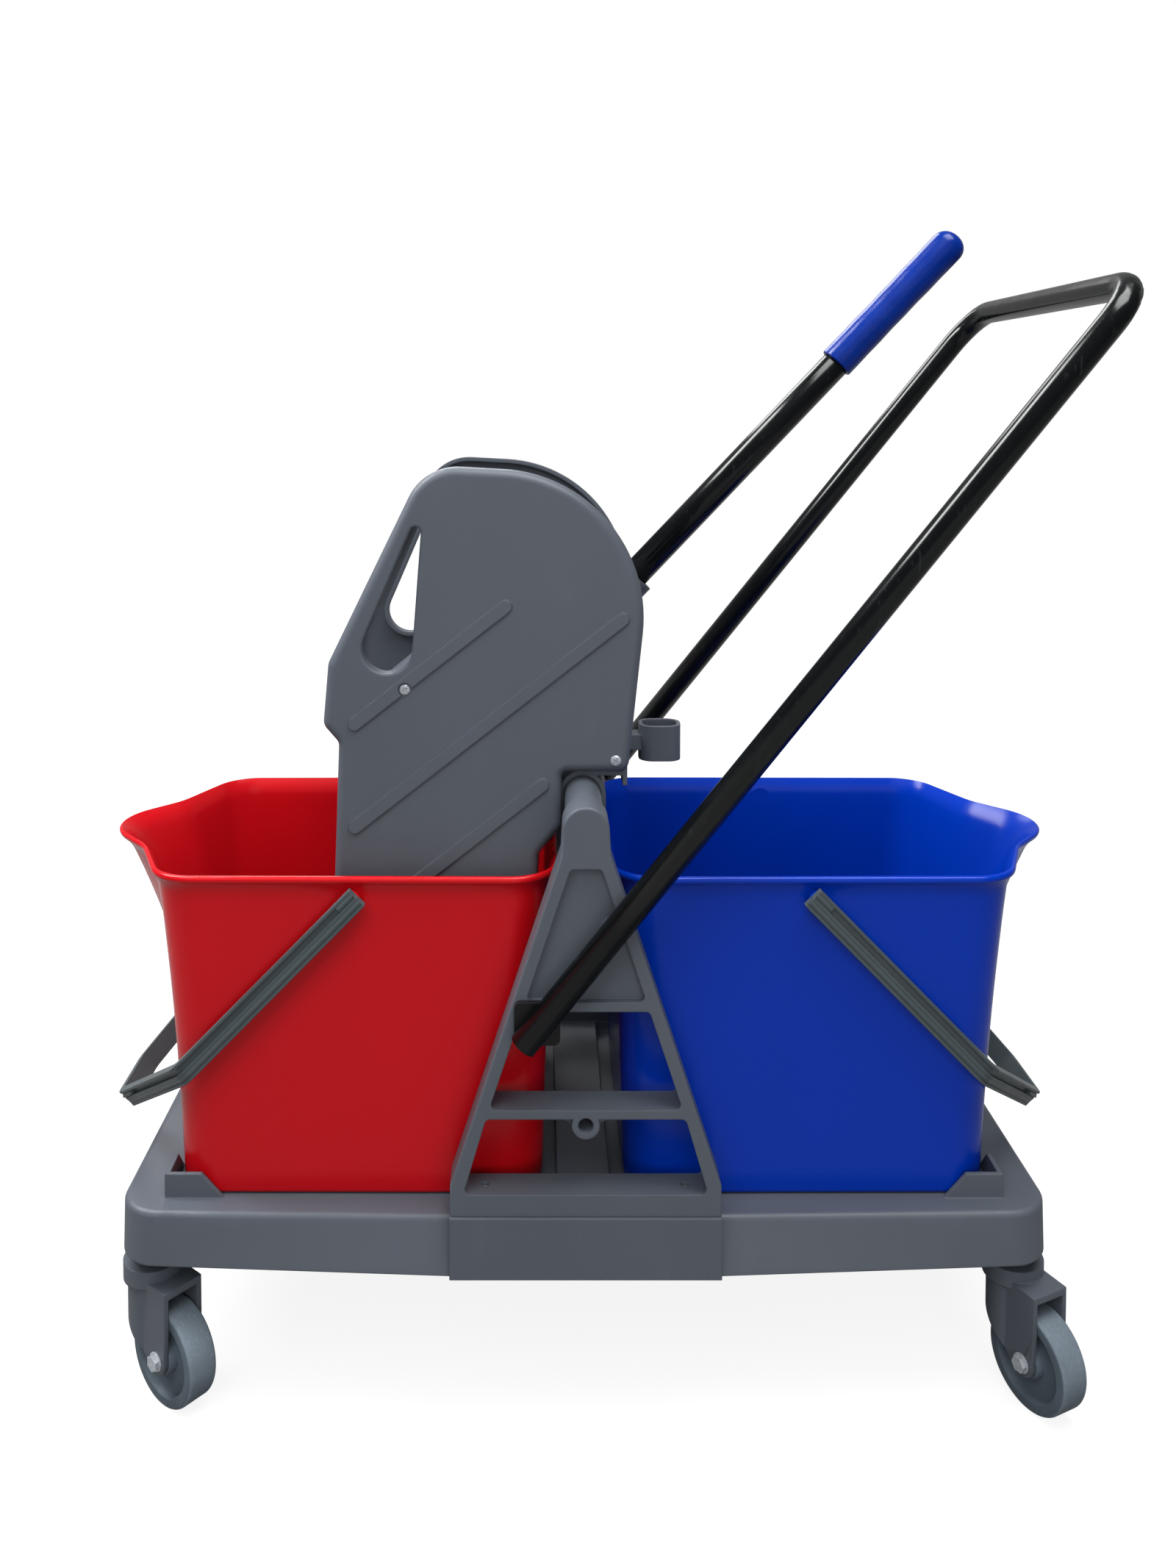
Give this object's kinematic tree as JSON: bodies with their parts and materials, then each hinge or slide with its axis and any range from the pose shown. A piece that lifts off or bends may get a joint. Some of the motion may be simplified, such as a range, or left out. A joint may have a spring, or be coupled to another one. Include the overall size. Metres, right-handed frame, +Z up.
{
  "type": "mop wringer trolley",
  "caption": "Castered mop trolley with a red and a blue lift-out bucket, a lever press wringer hung over the red one and a black tubular push handle",
  "frame": {"origin": "on the floor under the middle of the trolley's overall box", "axes": "+X from the red bucket to the blue one and the push handle, +Y from the near tower to the far one, +Z up"},
  "size_m": [0.8544, 0.41, 0.9725],
  "materials": {
    "grey_plastic": "moulded, satin",
    "red_plastic": "moulded, smooth",
    "blue_plastic": "moulded, smooth",
    "bail_plastic": "moulded, satin",
    "black_enamel": "gloss black enamel",
    "black_plastic": "moulded",
    "zinc_steel": "zinc plated",
    "spring_steel": "drawn wire",
    "wheel_rubber": "grey, non-marking",
    "grip_vinyl": "dipped, glossy"
  },
  "bodies": {
    "chassis": {"base_tray": "grey_plastic", "tower_near": "grey_plastic", "tower_far": "grey_plastic", "hanger_beam": "grey_plastic", "push_handle": "black_enamel", "handle_saddles": "black_plastic", "handle_bolts": "zinc_steel", "tower_screws": "zinc_steel", "caster_sockets": "grey_plastic", "caster_stems": "zinc_steel"},
    "bucket_red": {"red_bucket": "red_plastic"},
    "bucket_blue": {"blue_bucket": "blue_plastic"},
    "bail_red": {"red_bail": "bail_plastic"},
    "bail_blue": {"blue_bail": "bail_plastic"},
    "wringer": {"side_plate_near": "grey_plastic", "side_plate_far": "grey_plastic", "press_basket": "grey_plastic", "rear_bridge": "grey_plastic", "mop_holder_loop": "grey_plastic", "loop_screws": "zinc_steel", "plate_screws": "zinc_steel", "pivot_shaft": "zinc_steel", "return_spring": "spring_steel"},
    "lever": {"press_jaw": "grey_plastic", "lever_tube": "black_enamel", "lever_grip": "grip_vinyl", "lever_bolt": "zinc_steel"},
    "caster_near_left": {"fork_near_left": "grey_plastic", "axle_bolt_near_left": "zinc_steel"},
    "roller_near_left": {"wheel_near_left": "wheel_rubber"},
    "caster_near_right": {"fork_near_right": "grey_plastic", "axle_bolt_near_right": "zinc_steel"},
    "roller_near_right": {"wheel_near_right": "wheel_rubber"},
    "caster_far_left": {"fork_far_left": "grey_plastic", "axle_bolt_far_left": "zinc_steel"},
    "roller_far_left": {"wheel_far_left": "wheel_rubber"},
    "caster_far_right": {"fork_far_right": "grey_plastic", "axle_bolt_far_right": "zinc_steel"},
    "roller_far_right": {"wheel_far_right": "wheel_rubber"}
  },
  "joints": [
    {"name": "red_bucket_lift", "type": "slide", "parent": "chassis", "child": "bucket_red", "axis": [0, 0, 1], "range_m": [0, 0.3]},
    {"name": "blue_bucket_lift", "type": "slide", "parent": "chassis", "child": "bucket_blue", "axis": [0, 0, 1], "range_m": [0, 0.05]},
    {"name": "red_bail_swing", "type": "hinge", "parent": "bucket_red", "child": "bail_red", "pos_m": [-0.19, 0, 0.4133], "axis": [0, 1, 0], "range_deg": [0, 115]},
    {"name": "blue_bail_swing", "type": "hinge", "parent": "bucket_blue", "child": "bail_blue", "pos_m": [0.19, 0, 0.4133], "axis": [0, 1, 0], "range_deg": [-130, 0]},
    {"name": "wringer_lift", "type": "slide", "parent": "bucket_red", "child": "wringer", "axis": [0, 0, 1], "range_m": [0, 0.26]},
    {"name": "lever_press", "type": "hinge", "parent": "wringer", "child": "lever", "pos_m": [0, 0, 0.6075], "axis": [0, 1, 0], "range_deg": [0, 35], "stiffness_Nm_per_rad": 2, "springref_deg": -71.62, "deforming": ["return_spring"]},
    {"name": "swivel_near_left", "type": "hinge", "parent": "chassis", "child": "caster_near_left", "pos_m": [-0.358, -0.129, 0.124], "axis": [0, 0, 1], "continuous": true},
    {"name": "roll_near_left", "type": "hinge", "parent": "caster_near_left", "child": "roller_near_left", "pos_m": [-0.33655, -0.147, 0.04], "axis": [-0.6428, -0.766, 0], "continuous": true},
    {"name": "swivel_near_right", "type": "hinge", "parent": "chassis", "child": "caster_near_right", "pos_m": [0.358, -0.129, 0.124], "axis": [0, 0, 1], "continuous": true},
    {"name": "roll_near_right", "type": "hinge", "parent": "caster_near_right", "child": "roller_near_right", "pos_m": [0.37027, -0.15417, 0.04], "axis": [-0.8988, -0.4384, 0], "continuous": true},
    {"name": "swivel_far_left", "type": "hinge", "parent": "chassis", "child": "caster_far_left", "pos_m": [-0.358, 0.129, 0.124], "axis": [0, 0, 1], "continuous": true},
    {"name": "roll_far_left", "type": "hinge", "parent": "caster_far_left", "child": "roller_far_left", "pos_m": [-0.34076, 0.10694, 0.04], "axis": [-0.788, -0.6157, 0], "continuous": true},
    {"name": "swivel_far_right", "type": "hinge", "parent": "chassis", "child": "caster_far_right", "pos_m": [0.358, 0.129, 0.124], "axis": [0, 0, 1], "continuous": true},
    {"name": "roll_far_right", "type": "hinge", "parent": "caster_far_right", "child": "roller_far_right", "pos_m": [0.3771, 0.10852, 0.04], "axis": [-0.7314, -0.682, 0], "continuous": true}
  ]
}
